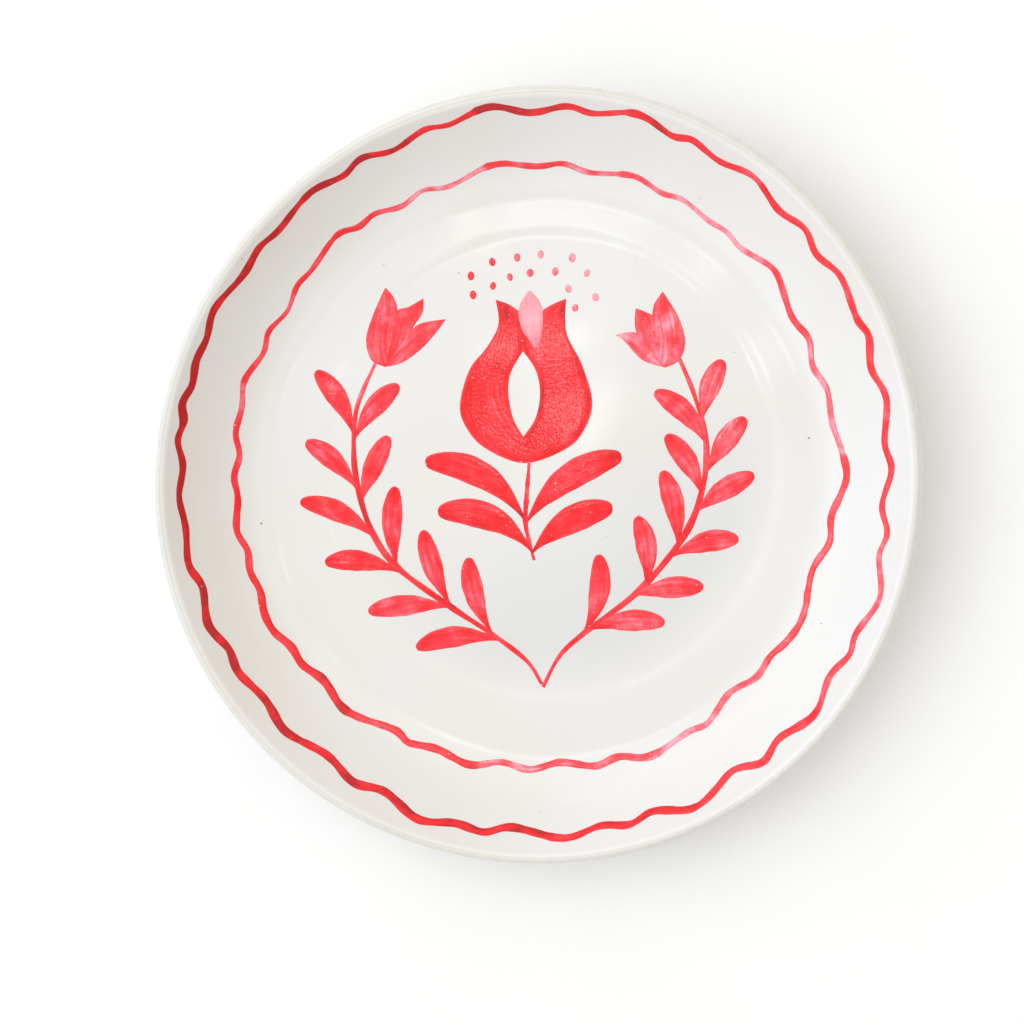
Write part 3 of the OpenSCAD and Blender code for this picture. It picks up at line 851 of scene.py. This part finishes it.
def right_tulip(rng):
    """The same flower turned the other way, a little smaller and paler."""
    middle = petal(((39.5, 31.6), (34.5, 36), (31.2, 42), (30.5, 46), (31, 50)),
                   ((39.5, 31.6), (38.8, 39), (36.8, 46.6), (34, 48.8), (31, 50)), 0.34, rng, LAPPED_UNDER)
    near = petal(((39.2, 31.5), (36.4, 38.5), (36, 46.8), (36.8, 51.2), (39.5, 54.8)),
                 ((39.5, 31.4), (44, 33.5), (46, 39), (44.3, 46.5), (39.5, 54.8)), 0.3, rng)
    far = petal(((39.5, 31.4), (32.5, 34), (28, 39), (26.2, 41), (24.3, 42)),
                ((39.6, 31.6), (35.2, 38), (31.8, 42), (28.5, 42.8), (24.3, 42)), 0.27, rng)
    return [middle, near, far]


def pomegranate(rng):
    """Fruit as one broad stroke bent round its opening: the outer curve runs from one crown tip
    under the fruit to the other, the inner curve follows crown, opening and crown again."""
    skin = ((-13.3, 54.7), (-12.6, 47), (-16.5, 40), (-22.5, 33), (-26, 22), (-24, 14.5), (-18, 8),
            (-5.7, 3.2), (8, 7.5), (14, 13.8), (16.4, 22), (13.5, 33.5), (9, 43.5), (9.2, 54))
    inside = ((((-13.3, 54.7), (-9, 53), (-5.9, 50.8)), 18), (((-5.9, 50.8), (-4.4, 44), (-4.8, 38.4)), 18),
              (((-4.8, 38.4), (-9, 32), (-10.2, 25.5), (-9, 17.5), (-6, 11.6)), 40),
              (((-6, 11.6), (-2, 17), (-0.2, 24.5), (-1.2, 32), (-5.2, 38.4)), 40),
              (((-5.2, 38.4), (-4.9, 45), (1.2, 50.5)), 18), (((1.2, 50.5), (4.5, 52.3), (9.2, 54)), 16))
    return [sharp_band(skin, inside, FRUIT_LOAD, rng)]


def crown_petal(rng):
    """Pale middle petal of the crown, over the fruit: two edges from its tip to its lower point."""
    steps = 50
    left = ((-2.4, 57.2), (-5.2, 53.5), (-6.2, 49), (-4.5, 43.5), (-0.5, 38))
    right = ((-2.4, 57.2), (0.4, 54), (2.2, 49), (1.8, 44), (-0.5, 38))
    left_edge, right_edge = (in_motif(even(through(edge, 12), steps)) for edge in (left, right))
    load = 0.25 + 0.65 * np.linspace(0, 1, steps) ** 2.5
    return [coat(left_edge, right_edge, load, rng.uniform(0, SEED_RANGE), rows=17, layer=LAPPED_OVER)]


# ---- building it ----

glaze = milky_glaze()
clay = turned_clay()
red = brushed_red("brushed_red_underglaze", (
    (0.0, "#f9a2b2"), (0.2, "#f96a78"), (0.4, "#f9404c"), (0.6, "#f7242e"), (0.76, "#f4141e"),
    (0.88, "#e60e18"), (1.0, "#c00810")))
pale_red = brushed_red("thin_red_wash", (
    (0.0, "#fab6bf"), (0.4, "#f994a0"), (0.7, "#f86a76"), (1.0, "#f44a56")))

piece("plate_clay_body", [clay_body()], clay, "clay_body")
piece("plate_foot_ring", [foot_ring()], clay, "foot_ring")
piece("plate_face_glaze", [face_glaze()], glaze, "face_glaze")
piece("plate_back_glaze", [back_glaze()], glaze, "back_glaze")
piece("plate_foot_well_glaze", [foot_well_glaze()], glaze, "foot_well_glaze")


def painted(node, patches, material=red):
    """One brush stroke, or dabs that share a node."""
    return piece("painted_" + node, patches, material, node)


rng = np.random.default_rng(21)
painted("outer_wave_line", [border_line("outer_wave_line", OUTER_BRUSH, rng)])
painted("inner_wave_line", [border_line("inner_wave_line", INNER_BRUSH, rng)])
painted("left_vine_stem", [stem(LEFT_STEM, STEM_W, 0.7, rng)])
painted("right_vine_stem", [stem(RIGHT_STEM, STEM_W, 0.62, rng)])
painted("pomegranate_stem", [stem(FRUIT_STEM, FRUIT_STEM_W, 0.6, rng)])
for vine, leaves, load in (("left_vine_outer", LEFT_OUTER, 0.6), ("left_vine_inner", LEFT_INNER, 0.56),
                           ("right_vine_outer", RIGHT_OUTER, 0.56), ("right_vine_inner", RIGHT_INNER, 0.52)):
    for number, (base, tip, bend) in enumerate(leaves, 1):
        stroke_load = load + rng.uniform(-LOAD_SPREAD, LOAD_SPREAD)
        painted(f"{vine}_leaf_{number}", [leaf(base, tip, VINE_LEAF_W, bend, stroke_load, rng)])
for name, (base, tip, bend) in BIG_LEAVES.items():
    painted(name, [leaf(base, tip, BIG_LEAF_W, bend, BIG_LEAF_LOAD, rng, 60, BIG_LEAF_TIP_POWER)])
painted("left_tulip", left_tulip(rng))
painted("right_tulip", right_tulip(rng))
painted("pomegranate", pomegranate(rng))
painted("pomegranate_crown_petal", crown_petal(rng), pale_red)
seeds = []
for x, y in SEEDS:
    load = FIRST_SEED_LOAD - SEED_LOAD_FALL * (x - FIRST_SEED_X) + rng.uniform(-0.06, 0.06)
    seeds.append(seed_dab(x + MOTIF_AT[0], y + MOTIF_AT[1], rng.uniform(0.92, 1.08), load, rng))
painted("seed_dots", seeds)


# ---- stage, light and camera ----

TABLE_W = 5.0


def pale_floor():
    """Plain matt white table top."""
    material, tree, shader = new_material("plain_white_table", Roughness=0.7, IOR=1.45)
    at = object_coords(tree)
    white = ramp(tree, noise(tree, at, 60, detail=3), (0.0, "#f4f4f3"), (1.0, "#fafafa"))
    tree.links.new(white, shader.inputs["Base Color"])
    half = TABLE_W / 2
    mesh = bpy.data.meshes.new("table_top")
    corners = [(-half, -half, 0), (half, -half, 0), (half, half, 0), (-half, half, 0)]
    mesh.from_pydata(corners, [], [(0, 1, 2, 3)])
    mesh.materials.append(material)
    floor = bpy.data.objects.new("table_top", mesh)
    bpy.context.scene.collection.objects.link(floor)


def looking(at, toward):
    """Rotation of an object at `at` that looks toward a point, with +Y as its upright."""
    back = (Vector(at) - Vector(toward)).normalized()
    right = Vector((0, 1, 0)).cross(back).normalized()
    up = back.cross(right)
    return Matrix((right, up, back)).transposed()


# The room: its light and how that falls to the right and to the top, then three soft round
# patches, each with its direction, where it ends and is full (degrees from there), and strength
ROOM_LIGHT = 1.0
ROOM_FALL = (-0.06, -0.08)
CEILING_TOWARD = (-0.33, 0.14, 0.93)
CEILING_SPREAD = (46, 20)
CEILING_GLOW = 0.78
DARK_TOWARD = (-0.2, -0.07, 1.0)
DARK_SPREAD = (19, 7)
DARK_DEPTH = 1.0
SHADE_TOWARD = (0.65, -0.6, 0.3)
SHADE_SPREAD = (75, 15)
SHADE_DEPTH = 0.4


def soft_box(name, direction, distance, size, power, colour="#ffffff"):
    """Rectangular soft light that looks at the plate from a direction (x, y, z)."""
    light = bpy.data.lights.new(name, "AREA")
    light.shape = "RECTANGLE"
    light.size, light.size_y = size
    light.energy = power
    light.color = linear(colour)[:3]
    lamp = bpy.data.objects.new(name, light)
    where = Vector(direction).normalized() * distance
    lamp.matrix_world = Matrix.Translation(where) @ looking(where, (0, 0, 0)).to_4x4()
    bpy.context.scene.collection.objects.link(lamp)
    return lamp


def room_light():
    """Plain room: near white, warmer on the right and falling off that way, with a soft bright
    ceiling up to the left, a dimmer patch straight above and a shaded corner at the lower right."""
    world = bpy.data.worlds.new("plain_room")
    world.use_nodes = True
    bpy.context.scene.world = world
    tree = world.node_tree
    direction = add(tree, "ShaderNodeTexCoord").outputs["Generated"]
    where = add(tree, "ShaderNodeSeparateXYZ", {"Vector": direction})
    across = maths(tree, "MULTIPLY_ADD", where.outputs["X"], -0.5, 0.5)
    colour = ramp(tree, across, (0.0, "#fff6e6"), (0.42, "#fffefc"), (1.0, "#f6faff"))

    def patch(toward, spread, height):
        ends, full = (math.cos(math.radians(angle)) for angle in spread)
        nearness = add(tree, "ShaderNodeVectorMath", {0: direction}, operation="DOT_PRODUCT")
        nearness.inputs[1].default_value = Vector(toward).normalized()
        glow = add(tree, "ShaderNodeMapRange", {"Value": nearness.outputs["Value"]},
                   interpolation_type="SMOOTHSTEP", From_Min=ends, From_Max=full, To_Max=height)
        return glow.outputs["Result"]

    strength = maths(tree, "ADD", patch(CEILING_TOWARD, CEILING_SPREAD, CEILING_GLOW), ROOM_LIGHT)
    strength = maths(tree, "MULTIPLY_ADD", where.outputs["X"], ROOM_FALL[0], strength)
    strength = maths(tree, "MULTIPLY_ADD", where.outputs["Y"], ROOM_FALL[1], strength)
    strength = maths(tree, "SUBTRACT", strength, patch(DARK_TOWARD, DARK_SPREAD, DARK_DEPTH))
    strength = maths(tree, "SUBTRACT", strength, patch(SHADE_TOWARD, SHADE_SPREAD, SHADE_DEPTH))
    background = tree.nodes["Background"]
    tree.links.new(colour, background.inputs["Color"])
    tree.links.new(strength, background.inputs["Strength"])


# The camera looks down the plate's axis, leaned by CAMERA_TILT toward a direction in the plan
CAMERA_TILT = math.radians(12.5)
CAMERA_TOWARD = math.radians(15)
CAMERA_ROLL = math.radians(-2.24)
CAMERA_DISTANCE = 900 * MM
CAMERA_AIM = (-7.2, -10.0, 17.5)
CAMERA_LENS = 101.8


def camera():
    """Long lens a little to the right of the plate's axis, level with the lean of the motif."""
    tilt, toward, aim = CAMERA_TILT, CAMERA_TOWARD, Vector(CAMERA_AIM) * MM
    data = bpy.data.cameras.new("camera")
    data.lens = CAMERA_LENS
    data.sensor_width = 36
    data.clip_end = 20
    cam = bpy.data.objects.new("camera", data)
    back = Vector((math.sin(tilt) * math.cos(toward), math.sin(tilt) * math.sin(toward), math.cos(tilt)))
    where = aim + back * CAMERA_DISTANCE
    turn = looking(where, aim) @ Matrix.Rotation(CAMERA_ROLL, 3, "Z")
    cam.matrix_world = Matrix.Translation(where) @ turn.to_4x4()
    bpy.context.scene.collection.objects.link(cam)
    bpy.context.scene.camera = cam


pale_floor()
room_light()
soft_box("window_upper_left", direction=(-1.0, 0.9, 0.75), distance=1.9, size=(1.6, 1.3), power=3.7,
         colour="#f6faff")
soft_box("window_overhead", direction=(-0.192, 0.055, 1.0), distance=2.0, size=(0.12, 0.2), power=0.42)
camera()
bpy.context.scene.view_settings.view_transform = "Standard"
